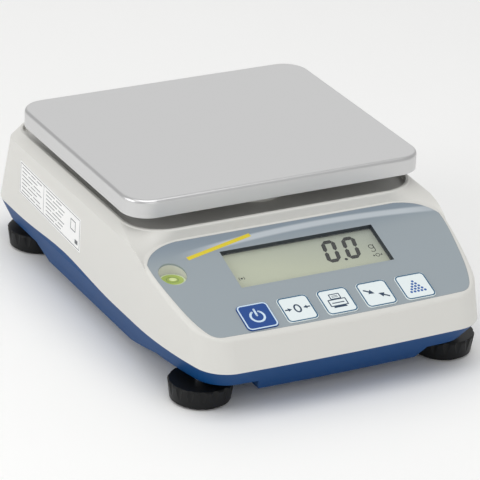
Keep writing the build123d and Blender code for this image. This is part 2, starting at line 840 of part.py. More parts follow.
with BuildPart() as tray_inside:
    with BuildSketch(Plane.XY.offset(tray_bottom)):
        with Locations(*case_screw_spots):
            Circle(case_head_radius + screw_head_gap + wall)
    extrude(amount=boss_joint - tray_bottom)
    with BuildSketch(Plane.XY.offset(tray_bottom)):
        with Locations((0, anchor_y)):
            Rectangle(cell_width + 2 * platform_margin, cell_end + 2 * platform_margin)
    extrude(amount=platform_top - tray_bottom)
    with BuildSketch(Plane.XY.offset(tray_bottom)):
        with Locations((0, post_y)):
            Circle(stop_radius + foot_boss_wall)
    extrude(amount=stop_boss_top - tray_bottom)
    with BuildSketch(Plane.XY.offset(tray_bottom)):
        with Locations(*main_board_spots):
            Circle(board_post_radius)
    extrude(amount=main_board_top - board_thickness - tray_bottom)
    with BuildSketch(Plane.XY.offset(tray_bottom)):
        with GridLocations(floor_rib_pitch, 0, 5, 1):
            Rectangle(floor_rib, body_depth)
        with GridLocations(0, floor_rib_pitch, 1, 7):
            Rectangle(body_width, floor_rib)
    extrude(amount=wall + floor_rib_height)
    with BuildSketch(Plane.XY.offset(foot_bay_height)):
        with Locations(*foot_spots):
            Circle(stud_radius + foot_boss_wall)
    extrude(amount=foot_boss_height)
    add(tray_solid.part, mode=Mode.INTERSECT)

with BuildPart() as tongue:
    add(walls_form(wall + tongue_gap))
    add(walls_form(wall + tongue_gap + tongue_wall), mode=Mode.SUBTRACT)
    add(below_parting(tongue_height), mode=Mode.INTERSECT)

with BuildPart() as tongue_root:
    extrude(body_outline(parting_height, wall / 2), amount=-tongue_height)
    extrude(
        body_outline(parting_height, wall + tongue_gap + tongue_wall), amount=-tongue_height,
        mode=Mode.SUBTRACT,
    )
    add(tray_solid.part, mode=Mode.INTERSECT)

with BuildPart() as base_tray:
    add(tray_solid.part)
    add(tray_cavity.part, mode=Mode.SUBTRACT)
    add(tray_inside.part)
    add(tongue.part)
    add(tongue_root.part)
    with BuildSketch(Plane.XY.offset(case_seat)):
        with Locations(*case_screw_spots):
            Circle(case_screw_radius + case_screw_play)
    extrude(amount=boss_joint - case_seat, mode=Mode.SUBTRACT)
    with BuildSketch(Plane.XY.offset(case_seat)):
        with Locations(*case_screw_spots):
            Circle(case_head_radius + screw_head_gap)
    extrude(amount=-case_seat, mode=Mode.SUBTRACT)
    with BuildSketch(Plane.XY.offset(anchor_seat)):
        with Locations(*anchor_spots):
            Circle(cell_screw_radius + screw_gap)
    extrude(amount=platform_roof, mode=Mode.SUBTRACT)
    with BuildSketch(Plane.XY.offset(anchor_seat)):
        with Locations(*anchor_spots):
            Circle(screw_head_radius + screw_head_gap)
    extrude(amount=-anchor_seat, mode=Mode.SUBTRACT)
    with BuildSketch(Plane.XY.offset(stop_boss_top)):
        with Locations((0, post_y)):
            Circle(stop_radius + screw_gap)
    extrude(amount=stop_reach - stop_gap - stop_length, mode=Mode.SUBTRACT)
    with BuildSketch(Plane.XY.offset(main_board_top - board_thickness)):
        with Locations(*main_board_spots):
            Circle(board_screw_radius + screw_gap)
    extrude(amount=-board_screw_grip, mode=Mode.SUBTRACT)
    with BuildSketch(Plane.XY.offset(tray_bottom)):
        with Locations(*foot_spots):
            Circle(stud_radius + thread_gap)
    extrude(amount=parting_height + foot_boss_height, mode=Mode.SUBTRACT)
save(base_tray.part, "base_tray")

# Printed sheet on the panel
with BuildPart() as panel_overlay:
    with BuildSketch(on_panel(facia_thickness)):
        add(facia_outline(0))
        with Locations(window_spot):
            Rectangle(window_width + 2 * bezel_gap, window_height + 2 * bezel_gap, mode=Mode.SUBTRACT)
        with Locations(*key_spots):
            RectangleRounded(
                key_size + 2 * key_gap, key_size + 2 * key_gap, key_corner + key_gap, mode=Mode.SUBTRACT,
            )
    extrude(amount=facia_thickness)
    with BuildSketch(Plane.XY.offset(level_seat)):
        with Locations((level_x, level_y)):
            Circle(level_radius + level_gap)
    extrude(amount=scale_height, mode=Mode.SUBTRACT)
save(panel_overlay.part, "panel_overlay")

# Dark frame round the display
with BuildPart() as display_bezel:
    with BuildSketch(on_panel(frame_depth)):
        with Locations(window_spot):
            Rectangle(window_width, window_height)
            Rectangle(sight_width, sight_height, mode=Mode.SUBTRACT)
    extrude(amount=frame_depth)
save(display_bezel.part, "display_bezel")


def display_layer(name, top, thickness):
    """One flat layer of the display, as wide as the inside of its frame."""
    with BuildPart() as layer:
        with BuildSketch(on_panel(top + thickness)):
            with Locations(window_spot):
                Rectangle(sight_width - 2 * layer_gap, sight_height - 2 * layer_gap)
        extrude(amount=thickness)
    save(layer.part, name)


display_layer("display_window", glass_depth, glass_thickness)
display_layer("lcd_panel", glass_depth + glass_thickness, lcd_thickness)
backlight_top = glass_depth + glass_thickness + lcd_thickness
display_layer("display_backlight", backlight_top, board_depth - backlight_top)

# Display board, on four posts under the panel
with BuildPart() as display_board:
    with BuildSketch(on_panel(board_depth + board_thickness)):
        with Locations((0, -(display_board_top + display_board_bottom) / 2)):
            Rectangle(display_board_width, display_board_bottom - display_board_top)
        with Locations(*board_spots):
            Circle(board_screw_radius + screw_gap, mode=Mode.SUBTRACT)
    extrude(amount=board_thickness)
save(display_board.part, "display_board")

board_back = Plane(
    origin=on_panel(board_depth + board_thickness).origin,
    x_dir=(-1, 0, 0),
    z_dir=-panel_plane.z_dir,
)
board_screws = cap_screws(
    board_back, [(-x, y) for x, y in board_spots], board_screw_radius,
    board_thickness + board_screw_grip - 1, board_head_radius, board_head_height,
)
save(board_screws, "board_screws")

# Small push switches under the keys
with BuildPart() as key_switches:
    with BuildSketch(on_panel(board_depth)):
        with Locations(*key_spots):
            Rectangle(switch_size, switch_size)
    extrude(amount=switch_height - switch_plunger)
    with BuildSketch(on_panel(board_depth - switch_height + switch_plunger)):
        with Locations(*key_spots):
            Circle(switch_size / 4)
    extrude(amount=switch_plunger)
save(key_switches.part, "key_switches")

# Keys: a square cap over the sheet and a stem down to its switch
for key_name, key_spot in zip(key_names, key_spots):
    with BuildPart() as key:
        with BuildSketch(on_panel(key_cap_depth)):
            with Locations(key_spot):
                RectangleRounded(key_size, key_size, key_corner)
        extrude(amount=key_cap_depth + key_pad)
        fillet(key.faces().sort_by(panel_axis)[-1].edges(), key_edge)
        with BuildSketch(on_panel(key_cap_depth)):
            with Locations(key_spot):
                Circle(key_stem_radius)
        extrude(amount=key_cap_depth - stem_foot)
    save(key.part, f"key_{key_name}")

# Round level, which sits level in its cup below the slope of the panel
with BuildPart() as level_vial:
    with BuildSketch(Plane.XY.offset(level_seat)):
        with Locations((level_x, level_y)):
            Circle(level_radius)
    extrude(amount=level_height)
    fillet(level_vial.faces().sort_by(Axis.Z)[-1].edges(), level_edge)
save(level_vial.part, "level_vial")

# Main board, on four posts of the tray, and its two sockets
with BuildPart() as main_board:
    with BuildSketch(Plane.XY.offset(main_board_top - board_thickness)):
        with Locations((main_board_x, main_board_y)):
            Rectangle(main_board_width, main_board_depth)
        with Locations(*main_board_spots):
            Circle(board_screw_radius + screw_gap, mode=Mode.SUBTRACT)
    extrude(amount=board_thickness)
save(main_board.part, "main_board")

main_board_screws = cap_screws(
    Plane.XY.offset(main_board_top), main_board_spots, board_screw_radius,
    board_thickness + board_screw_grip - 1, board_head_radius, board_head_height,
)
save(main_board_screws, "main_board_screws")

socket_face = Plane.XZ.offset(wall - bay_back)
with BuildPart() as dc_jack:
    with BuildSketch(socket_face):
        with Locations((jack_x, (main_board_top + socket_height + jack_radius + 1) / 2)):
            Rectangle(jack_body_width, socket_height + jack_radius + 1 - main_board_top)
    extrude(amount=socket_body_depth)
    with BuildSketch(socket_face):
        with Locations((jack_x, socket_height)):
            Circle(jack_radius)
    extrude(amount=-wall - jack_nose)
    with BuildSketch(Plane.XZ.offset(-bay_back - jack_nose)):
        with Locations((jack_x, socket_height)):
            Circle(jack_bore_radius)
            Circle(jack_pin_radius, mode=Mode.SUBTRACT)
    extrude(amount=jack_bore_depth, mode=Mode.SUBTRACT)
save(dc_jack.part, "dc_jack")

with BuildPart() as serial_socket:
    with BuildSketch(socket_face):
        with Locations((serial_x, socket_height)):
            Rectangle(serial_flange_width, serial_flange_height)
            with GridLocations(serial_screw_spacing, 0, 2, 1):
                Circle(serial_screw_radius + screw_gap, mode=Mode.SUBTRACT)
    extrude(amount=serial_flange)
    with BuildSketch(socket_face):
        with Locations((serial_x, socket_height)):
            RectangleRounded(serial_width, serial_height, serial_corner)
    extrude(amount=-wall - serial_nose)
    with BuildSketch(Plane.XZ.offset(wall - bay_back + serial_flange)):
        with Locations((serial_x, (main_board_top + socket_height + serial_height / 2) / 2)):
            Rectangle(serial_width, socket_height + serial_height / 2 - main_board_top)
    extrude(amount=socket_body_depth - serial_flange)
    with BuildSketch(Plane.XZ.offset(-bay_back - serial_nose)):
        for row, count in ((1, 5), (-1, 4)):
            with Locations((serial_x, socket_height + row * serial_pin_pitch / 2)):
                with GridLocations(serial_pin_pitch, 0, count, 1):
                    Circle(serial_pin_radius)
    extrude(amount=serial_nose, mode=Mode.SUBTRACT)
save(serial_socket.part, "serial_socket")

with BuildPart() as socket_nuts:
    with BuildSketch(Plane.XZ.offset(-bay_back)):
        with Locations((serial_x, socket_height)):
            with GridLocations(serial_screw_spacing, 0, 2, 1):
                RegularPolygon(socket_nut_radius, 6)
    extrude(amount=-serial_nose)
    with BuildSketch(Plane.XZ.offset(-bay_back)):
        with Locations((serial_x, socket_height)):
            with GridLocations(serial_screw_spacing, 0, 2, 1):
                Circle(serial_screw_radius)
    extrude(amount=wall + serial_flange)
save(socket_nuts.part, "socket_nuts")

# Blank label on the left side
with BuildPart() as side_label:
    with BuildSketch(label_plane.offset(-label_sink)):
        Rectangle(label_length, label_height)
    extrude(amount=label_thickness)
save(side_label.part, "side_label")

# Case screws, driven from below
case_plane = Plane(origin=(0, 0, case_seat), x_dir=(-1, 0, 0), z_dir=(0, 0, -1))
case_screws = cap_screws(
    case_plane, [(-x, y) for x, y in case_screw_spots], case_screw_radius,
    boss_joint - case_seat + case_screw_grip, case_head_radius, case_head_height,
)
save(case_screws, "case_screws")

# Levelling feet: a ribbed knob on a threaded stud, with a rubber sole
foot_names = ["front_left", "front_right", "rear_left", "rear_right"]
for foot_name, foot_spot in zip(foot_names, foot_spots):
    save(foot_knob(foot_spot), f"foot_{foot_name}")
    with BuildPart() as stud:
        with BuildSketch(Plane.XY.offset(foot_sole)):
            with Locations(foot_spot):
                Circle(stud_radius)
        extrude(amount=foot_height - foot_sole + stud_length)
        chamfer(stud.faces().sort_by(Axis.Z)[-1].edges(), stud_edge)
    save(stud.part, f"foot_stud_{foot_name}")
    with BuildPart() as sole:
        with BuildSketch():
            with Locations(foot_spot):
                Circle(sole_radius)
        extrude(amount=foot_sole)
    save(sole.part, f"foot_pad_{foot_name}")
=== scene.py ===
"""Looks of the compact bench scale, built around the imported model. Metres, +Z up, front towards -Y."""
import math

import bpy
import numpy as np
from mathutils import Matrix, Vector


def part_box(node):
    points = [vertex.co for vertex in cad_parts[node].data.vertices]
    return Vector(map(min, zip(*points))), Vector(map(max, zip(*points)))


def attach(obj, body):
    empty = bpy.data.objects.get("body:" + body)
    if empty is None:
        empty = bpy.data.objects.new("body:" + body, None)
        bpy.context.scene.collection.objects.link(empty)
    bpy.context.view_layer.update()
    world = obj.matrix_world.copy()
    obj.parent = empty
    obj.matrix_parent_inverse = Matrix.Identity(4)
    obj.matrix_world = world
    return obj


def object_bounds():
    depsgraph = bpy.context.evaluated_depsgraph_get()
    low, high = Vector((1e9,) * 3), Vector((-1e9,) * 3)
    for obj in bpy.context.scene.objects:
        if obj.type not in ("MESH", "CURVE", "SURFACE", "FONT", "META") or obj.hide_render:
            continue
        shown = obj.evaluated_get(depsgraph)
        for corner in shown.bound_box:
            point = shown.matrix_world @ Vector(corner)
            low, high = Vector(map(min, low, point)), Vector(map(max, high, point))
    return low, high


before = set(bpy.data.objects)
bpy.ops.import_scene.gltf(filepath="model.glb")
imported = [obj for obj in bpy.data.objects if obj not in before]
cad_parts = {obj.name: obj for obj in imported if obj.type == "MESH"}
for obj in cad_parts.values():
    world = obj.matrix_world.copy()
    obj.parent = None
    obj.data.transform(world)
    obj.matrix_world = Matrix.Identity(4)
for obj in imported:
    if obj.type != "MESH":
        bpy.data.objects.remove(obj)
cad_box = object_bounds()
scene = bpy.context.scene
MM = 0.001

# Camera. A long lens in front, to the left and above, turned a little, as the photograph was taken.
# Its place was worked out from the straight edges of the pan and the circles of the feet.
PHOTO_SIDE = 480
SENSOR_WIDTH = 36.0
FOCAL_PIXELS = 3162.3
CAMERA_AZIMUTH = math.radians(-28.538)
CAMERA_ELEVATION = math.radians(24.674)
CAMERA_ROLL = math.radians(2.615)
CAMERA_DISTANCE = 2160.95 * MM
CAMERA_RIGHT = 14.355 * MM
CAMERA_DOWN = 76.436 * MM

pan_low, pan_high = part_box("pan")
pan_top = np.array([(pan_low.x + pan_high.x) / 2, (pan_low.y + pan_high.y) / 2, pan_high.z])


def camera_axes():
    """Right, up and forward: forward from the two angles, then right and up turned about it."""
    sin_a, cos_a = math.sin(CAMERA_AZIMUTH), math.cos(CAMERA_AZIMUTH)
    sin_e, cos_e = math.sin(CAMERA_ELEVATION), math.cos(CAMERA_ELEVATION)
    forward = np.array([-sin_a * cos_e, cos_a * cos_e, -sin_e])
    level = np.array([cos_a, sin_a, 0.0])
    upright = np.cross(level, forward)
    right = level * math.cos(CAMERA_ROLL) + upright * math.sin(CAMERA_ROLL)
    up = upright * math.cos(CAMERA_ROLL) - level * math.sin(CAMERA_ROLL)
    return right, up, forward


right, up, forward = camera_axes()
camera_data = bpy.data.cameras.new("camera")
camera_data.sensor_width = SENSOR_WIDTH
camera_data.lens = SENSOR_WIDTH * FOCAL_PIXELS / PHOTO_SIDE
camera_data.clip_start, camera_data.clip_end = 0.1, 50.0
camera = bpy.data.objects.new("camera", camera_data)
scene.collection.objects.link(camera)
camera_place = pan_top + CAMERA_RIGHT * right - CAMERA_DOWN * up - CAMERA_DISTANCE * forward
camera_turn = Matrix(np.column_stack([right, up, -forward]).tolist()).to_4x4()
camera.matrix_world = Matrix.Translation(Vector(camera_place)) @ camera_turn
scene.camera = camera

# Floor and light. A pale matt paper sweep under large soft boxes: one overhead, one at the left for
# the bright side wall, one behind that the pan's top mirrors, and a weak one in front.
FLOOR_HALF = 6.0
WORLD_STRENGTH = 0.56
LIGHTS = {
    # name: (azimuth, elevation, distance, width, height, watts)
    "overhead": (-20.0, 78.0, 1.7, 1.5, 1.2, 9.5),
    "left": (-95.0, 28.0, 1.7, 1.2, 0.9, 6.5),
    "behind": (152.0, 30.0, 2.6, 3.0, 1.7, 5.6),
    "front": (-5.0, 20.0, 2.1, 1.6, 0.8, 3.5),
}
GRAIN_DEPTH = 0.05
GRAIN_SPREAD = 0.05
DRIFT_SIZE = 62.5


def linear(hex_colour):
    """Linear colour of an sRGB hex value: the straight foot below 0.04045, the 2.4 power above it."""
    parts = [int(hex_colour[i:i + 2], 16) / 255 for i in (0, 2, 4)]
    return (*[c / 12.92 if c <= 0.04045 else ((c + 0.055) / 1.055) ** 2.4 for c in parts], 1.0)


def add_node(tree, kind, settings, inputs):
    """Adds one shader node: its own settings, and its inputs as constants or other nodes' outputs."""
    node = tree.nodes.new(kind)
    for name, value in settings.items():
        setattr(node, name, value)
    for socket, value in inputs.items():
        if isinstance(value, bpy.types.NodeSocket):
            tree.links.new(value, node.inputs[socket])
        else:
            node.inputs[socket].default_value = value
    return node


def new_material(name):
    """An empty node material, its node tree and its object coordinates."""
    material = bpy.data.materials.new(name)
    material.use_nodes = True
    tree = material.node_tree
    tree.nodes.clear()
    return material, tree, add_node(tree, "ShaderNodeTexCoord", {}, {}).outputs["Object"]


def show(tree, shader):
    """Joins a finished shader to its material's surface."""
    add_node(tree, "ShaderNodeOutputMaterial", {}, {"Surface": shader.outputs["BSDF"]})


def grained(tree, place, grain_mm, roughness, relief, spread=GRAIN_SPREAD):
    """Moulded or rolled grain of one size: noise that varies the roughness and gives a low relief."""
    grain = add_node(
        tree, "ShaderNodeTexNoise", {},
        {"Vector": place, "Scale": 1 / (grain_mm * MM), "Detail": 3.0, "Roughness": 0.6},
    ).outputs["Fac"]
    rough = add_node(
        tree, "ShaderNodeMapRange", {},
        {"Value": grain, "To Min": max(0.02, roughness - spread), "To Max": roughness + spread},
    )
    bump = add_node(
        tree, "ShaderNodeBump", {},
        {"Height": grain, "Strength": relief, "Distance": GRAIN_DEPTH * MM},
    )
    return {"Roughness": rough.outputs["Result"], "Normal": bump.outputs["Normal"]}


def surface(name, hex_colour, roughness, grain_mm, relief, tint=0.02, metallic=0.0, gloss=0.5):
    """A plain finish with its grain: its colour drifts by the tint, darker and lighter, over some
    centimetres."""
    material, tree, place = new_material(name)
    drift = add_node(
        tree, "ShaderNodeTexNoise", {}, {"Vector": place, "Scale": 1 / (DRIFT_SIZE * MM), "Detail": 2.0},
    )
    base = linear(hex_colour)
    darker = (*[c * (1 - tint) for c in base[:3]], 1.0)
    lighter = (*[min(1.0, c * (1 + tint)) for c in base[:3]], 1.0)
    colour = add_node(
        tree, "ShaderNodeMix", {"data_type": "RGBA"},
        {"Factor": drift.outputs["Fac"], 6: darker, 7: lighter},
    ).outputs[2]
    grain = grained(tree, place, grain_mm, roughness, relief)
    show(tree, add_node(
        tree, "ShaderNodeBsdfPrincipled", {},
        {"Base Color": colour, "Metallic": metallic, "Specular IOR Level": gloss, **grain},
    ))
    return material


target = (cad_box[0] + cad_box[1]) / 2
for name, (azimuth, elevation, distance, width, height, watts) in LIGHTS.items():
    data = bpy.data.lights.new(name, "AREA")
    data.shape = "RECTANGLE"
    data.size, data.size_y, data.energy = width, height, watts
    lamp = bpy.data.objects.new(name, data)
    scene.collection.objects.link(lamp)
    azimuth, elevation = math.radians(azimuth), math.radians(elevation)
    outward = Vector((
        math.sin(azimuth) * math.cos(elevation), -math.cos(azimuth) * math.cos(elevation),
        math.sin(elevation),
    ))
    lamp.location = target + outward * distance
    lamp.rotation_euler = (-outward).to_track_quat("-Z", "Y").to_euler()

world = bpy.data.worlds.new("studio")
world.use_nodes = True
world.node_tree.nodes["Background"].inputs["Color"].default_value = linear("FFFFFF")
world.node_tree.nodes["Background"].inputs["Strength"].default_value = WORLD_STRENGTH
scene.world = world
scene.view_settings.view_transform = "Standard"

floor_mesh = bpy.data.meshes.new("floor")
floor_corners = np.array([[-1, -1, 0], [1, -1, 0], [1, 1, 0], [-1, 1, 0]]) * FLOOR_HALF
floor_mesh.from_pydata(floor_corners.tolist(), [], [(0, 1, 2, 3)])
floor = bpy.data.objects.new("floor", floor_mesh)
scene.collection.objects.link(floor)
floor_mesh.materials.append(surface("matt_paper", "FDFDFC", 0.85, 4.0, 0.02, tint=0.003))

# White housing. One injection moulding in warm white ABS, clipped and screwed to the tray. Its mould
# was spark eroded to a fine even texture, which makes its highlights broad and soft. The real grain
# of about 0.1 mm is too fine to show, so it is drawn coarser.
SHELL_GRAIN = 0.8
SHELL_RELIEF = 0.14


def finish_node(name, material):
    """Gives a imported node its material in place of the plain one."""
    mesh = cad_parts[name].data
    mesh.materials.clear()
    mesh.materials.append(material)


moulded_white = surface("moulded_white_abs", "DBDAD5", 0.42, SHELL_GRAIN, SHELL_RELIEF, tint=0.008)
finish_node("top_housing", moulded_white)

# Blue tray. An injection moulding in deep blue ABS that carries everything and stands on the feet.
# It has the housing's texture, but a duller face that mirrors little of the floor.
moulded_blue = surface("moulded_blue_abs", "0B4379", 0.46, SHELL_GRAIN, SHELL_RELIEF, tint=0.03, gloss=0.2)
finish_node("base_tray", moulded_blue)

# Pan. Stainless sheet, brushed along its width before it was pressed, resting on four buffers. The
# brushing stretches every reflection across it. Real lines of about 0.05 mm are drawn coarser.
BRUSH_LINE = 0.3
BRUSH_LENGTH = 45.0
BRUSH_DEPTH = 0.03
BRUSH_RELIEF = 0.06
BRUSH_SHADE = 0.94
BRUSH_SMOOTHER, BRUSH_ROUGHER = 0.05, 0.07


def brushed_steel(name, hex_colour, roughness):
    """Metal with long thin streaks: noise squeezed across the brushing and stretched along it."""
    material, tree, place = new_material(name)
    across, along = 1 / (BRUSH_LINE * MM), 1 / (BRUSH_LENGTH * MM)
    stretch = add_node(
        tree, "ShaderNodeMapping", {}, {"Vector": place, "Scale": (along, across, across)},
    )
    streaks = add_node(
        tree, "ShaderNodeTexNoise", {},
        {"Vector": stretch.outputs["Vector"], "Scale": 1.0, "Detail": 4.0, "Roughness": 0.65},
    ).outputs["Fac"]
    light = linear(hex_colour)
    dark = (*[c * BRUSH_SHADE for c in light[:3]], 1.0)
    colour = add_node(tree, "ShaderNodeMix", {"data_type": "RGBA"}, {"Factor": streaks, 6: dark, 7: light})
    rough = add_node(
        tree, "ShaderNodeMapRange", {},
        {"Value": streaks, "To Min": roughness - BRUSH_SMOOTHER, "To Max": roughness + BRUSH_ROUGHER},
    )
    relief = add_node(
        tree, "ShaderNodeBump", {},
        {"Height": streaks, "Strength": BRUSH_RELIEF, "Distance": BRUSH_DEPTH * MM},
    )
    show(tree, add_node(
        tree, "ShaderNodeBsdfPrincipled", {},
        {"Base Color": colour.outputs[2], "Metallic": 1.0, "Roughness": rough.outputs["Result"],
         "Normal": relief.outputs["Normal"]},
    ))
    return material


finish_node("pan", brushed_steel("brushed_stainless", "D6D6D6", 0.32))

# Mechanism under the pan. A sand cast alloy carrier, dull and rough, on a milled load cell, which is
# anodised to a clean satin. Bright zinc plated screws hold them. The pan rests on matt black rubber.
finish_node("pan_carrier", surface("cast_alloy", "8A8C8E", 0.55, 1.2, 0.4, metallic=0.9))
finish_node("pan_buffers", surface("black_rubber", "1A1A1A", 0.75, 0.6, 0.2))
finish_node("strain_gauges", surface("gauge_film", "C8742A", 0.4, 0.5, 0.05))
anodised = surface("anodised_aluminium", "C9CBCE", 0.38, 0.5, 0.08, metallic=1.0)
for name in ("load_cell", "cell_spacer"):
    finish_node(name, anodised)
zinc = surface("zinc_plated_steel", "B4B6BA", 0.3, 0.4, 0.05, metallic=1.0)
for name in ("carrier_screws", "cell_screws", "overload_stop", "case_screws", "board_screws",
             "main_board_screws", "socket_nuts"):
    finish_node(name, zinc)

# Control panel. A printed polyester sheet, satin to the eye, bonded into its seat: blue grey, darker
# towards its top, with a paler sweep and one straight yellow stripe over the display.
PANEL_SLOPE = math.radians(19.5)
PANEL_FOOT = (0.0, -65.157, 84.0)
FADE_FROM, FADE_TO = 2.0, 24.0
SWEEP_MIDDLE, SWEEP_TOP, SWEEP_BEND = 22.0, 7.6, 0.0007
SWEEP_WIDTH, SWEEP_SOFT = 5.0, 1.1
SWEEP_HALF_LENGTH, SWEEP_FADE = 88.0, 28.0
YELLOW_FROM, YELLOW_TO, YELLOW_WIDTH = (-80.5, 18.6), (-29.5, 7.2), 3.0
YELLOW_SIDE_SOFT, YELLOW_END_SOFT = 0.12, 0.3


def panel_place(tree, place):
    """Millimetres across the panel, down its slope and into it: the place measured from the foot of
    the step and turned back by the slope."""
    return add_node(
        tree, "ShaderNodeMapping", {"vector_type": "TEXTURE"},
        {"Vector": place, "Location": tuple(v * MM for v in PANEL_FOOT),
         "Rotation": (PANEL_SLOPE, 0.0, 0.0), "Scale": (MM, -MM, MM)},
    ).outputs["Vector"]


def within(tree, distance, half, soft):
    """One inside half a width of a line and nothing outside it, with a soft edge."""
    reach = add_node(tree, "ShaderNodeMath", {"operation": "ABSOLUTE"}, {0: distance})
    return add_node(
        tree, "ShaderNodeMapRange", {"interpolation_type": "SMOOTHSTEP"},
        {"Value": reach.outputs["Value"], "From Min": half + soft, "From Max": half - soft},
    ).outputs["Result"]


def sweep_mask(tree, x, down):
    """The sweep: a band about the curve s = top + bend (x - middle)^2 that fades out at its ends."""
    offset = add_node(tree, "ShaderNodeMath", {"operation": "SUBTRACT"}, {0: x, 1: SWEEP_MIDDLE}).outputs[0]
    squared = add_node(tree, "ShaderNodeMath", {"operation": "MULTIPLY"}, {0: offset, 1: offset})
    curve = add_node(
        tree, "ShaderNodeMath", {"operation": "MULTIPLY_ADD"},
        {0: squared.outputs["Value"], 1: SWEEP_BEND, 2: SWEEP_TOP},
    )
    beside = add_node(tree, "ShaderNodeMath", {"operation": "SUBTRACT"}, {0: down, 1: curve.outputs["Value"]})
    band = within(tree, beside.outputs["Value"], SWEEP_WIDTH / 2, SWEEP_SOFT)
    ends = within(tree, offset, SWEEP_HALF_LENGTH, SWEEP_FADE)
    return add_node(tree, "ShaderNodeMath", {"operation": "MULTIPLY"}, {0: band, 1: ends}).outputs["Value"]


def stripe_mask(tree, flat):
    """The stripe: panel places measured from its middle, along it and across it."""
    (x_from, down_from), (x_to, down_to) = YELLOW_FROM, YELLOW_TO
    turned = add_node(
        tree, "ShaderNodeMapping", {"vector_type": "TEXTURE"},
        {"Vector": flat, "Location": ((x_from + x_to) / 2, (down_from + down_to) / 2, 0.0),
         "Rotation": (0.0, 0.0, math.atan2(down_to - down_from, x_to - x_from))},
    )
    parts = add_node(tree, "ShaderNodeSeparateXYZ", {}, {"Vector": turned.outputs["Vector"]})
    half_length = math.dist(YELLOW_FROM, YELLOW_TO) / 2
    lengthways = within(tree, parts.outputs["X"], half_length, YELLOW_END_SOFT)
    sideways = within(tree, parts.outputs["Y"], YELLOW_WIDTH / 2, YELLOW_SIDE_SOFT)
    return add_node(
        tree, "ShaderNodeMath", {"operation": "MULTIPLY"}, {0: sideways, 1: lengthways},
    ).outputs["Value"]


def printed_sheet():
    """The sheet's inks: a ground that fades down the slope, the sweep over it, then the stripe."""
    material, tree, place = new_material("printed_polyester")
    flat = panel_place(tree, place)
    parts = add_node(tree, "ShaderNodeSeparateXYZ", {}, {"Vector": flat})
    x, down = parts.outputs["X"], parts.outputs["Y"]
    fade = add_node(
        tree, "ShaderNodeMapRange", {"interpolation_type": "SMOOTHSTEP"},
        {"Value": down, "From Min": FADE_FROM, "From Max": FADE_TO},
    ).outputs["Result"]
    colour = add_node(
        tree, "ShaderNodeMix", {"data_type": "RGBA"},
        {"Factor": fade, 6: linear("85929E"), 7: linear("99A3A9")},
    ).outputs[2]
    for mask, ink_colour in ((sweep_mask(tree, x, down), "BEC6CC"), (stripe_mask(tree, flat), "E0CB2E")):
        colour = add_node(
            tree, "ShaderNodeMix", {"data_type": "RGBA"},
            {"Factor": mask, 6: colour, 7: linear(ink_colour)},
        ).outputs[2]
    show(tree, add_node(
        tree, "ShaderNodeBsdfPrincipled", {},
        {"Base Color": colour, "IOR": 1.5, **grained(tree, place, 0.35, 0.36, 0.06)},
    ))
    return material


sheet_print = printed_sheet()
finish_node("panel_overlay", sheet_print)

# Display. A dark moulded frame stands round a reflective liquid crystal panel behind a clear window.
# The panel is grey green with black segments. Painted shade darkens it towards its top and right, and
# painted light makes it paler towards its lower left. The printed sheet covers the frame's edge.
DISPLAY_DOWN = 34.8
DISPLAY_SIGHT = (113.6, 34.6)
BORDER_WIDTH = 1.45
LCD_DEPTH = 4.0
# Painted shade on the display panel: how much it changes per millimetre across and down, and its share at the
# middle of the top.
LCD_PAINTED_SHADE_ACROSS, LCD_PAINTED_SHADE_DOWN, LCD_PAINTED_SHADE_START = 0.006, -0.02, 0.9
LCD_WEAVE, LCD_WEAVE_SIZE = 0.1, 0.5
DIGIT_HEIGHT = 20.2
DIGIT_WIDTH = 10.4
DIGIT_SLANT = 0.17
SEGMENT_WIDTH = 3.0
SEGMENT_GAP = 0.06
FIRST_DIGIT, SECOND_DIGIT, DIGITS_DOWN = 20.4, 35.6, 31.2
FILM = 0.03
panel_up = (0.0, math.cos(PANEL_SLOPE), math.sin(PANEL_SLOPE))


def lcd_face_painted_shade():
    """Grey green reflector with painted shade: evenly darker towards its top and right and paler
    towards its lower left, with a faint weave.
    """
    material, tree, place = new_material("lcd_face_painted_shade")
    parts = add_node(tree, "ShaderNodeSeparateXYZ", {}, {"Vector": panel_place(tree, place)})
    weave = add_node(
        tree, "ShaderNodeTexNoise", {},
        {"Vector": place, "Scale": 1 / (LCD_WEAVE_SIZE * MM), "Detail": 2.0},
    )
    share = add_node(
        tree, "ShaderNodeMath", {"operation": "MULTIPLY_ADD"},
        {0: parts.outputs["Y"], 1: LCD_PAINTED_SHADE_DOWN, 2: LCD_PAINTED_SHADE_START},
    )
    for value, weight in ((parts.outputs["X"], LCD_PAINTED_SHADE_ACROSS), (weave.outputs["Fac"], LCD_WEAVE)):
        share = add_node(
            tree, "ShaderNodeMath", {"operation": "MULTIPLY_ADD", "use_clamp": True},
            {0: value, 1: weight, 2: share.outputs["Value"]},
        )
    # Painted shade and light: the mix runs from the paler colour at the lower left to the darker one at the
    # top and right.
    colour = add_node(
        tree, "ShaderNodeMix", {"data_type": "RGBA"},
        {"Factor": share.outputs["Value"], 6: linear("C0C5AE"), 7: linear("A0A79E")},
    )
    show(tree, add_node(
        tree, "ShaderNodeBsdfPrincipled", {},
        {"Base Color": colour.outputs[2], "IOR": 1.5, **grained(tree, place, 0.3, 0.3, 0.02)},
    ))
    return material


def clear_window():
    """Clear acrylic: almost see-through, with a smooth face that still mirrors the lights."""
    material, tree, place = new_material("clear_window")
    show(tree, add_node(
        tree, "ShaderNodeBsdfPrincipled", {},
        {"Base Color": linear("F4F8F4"), "Alpha": 0.06, "IOR": 1.49,
         **grained(tree, place, 0.4, 0.06, 0.01, spread=0.02)},
    ))
    return material


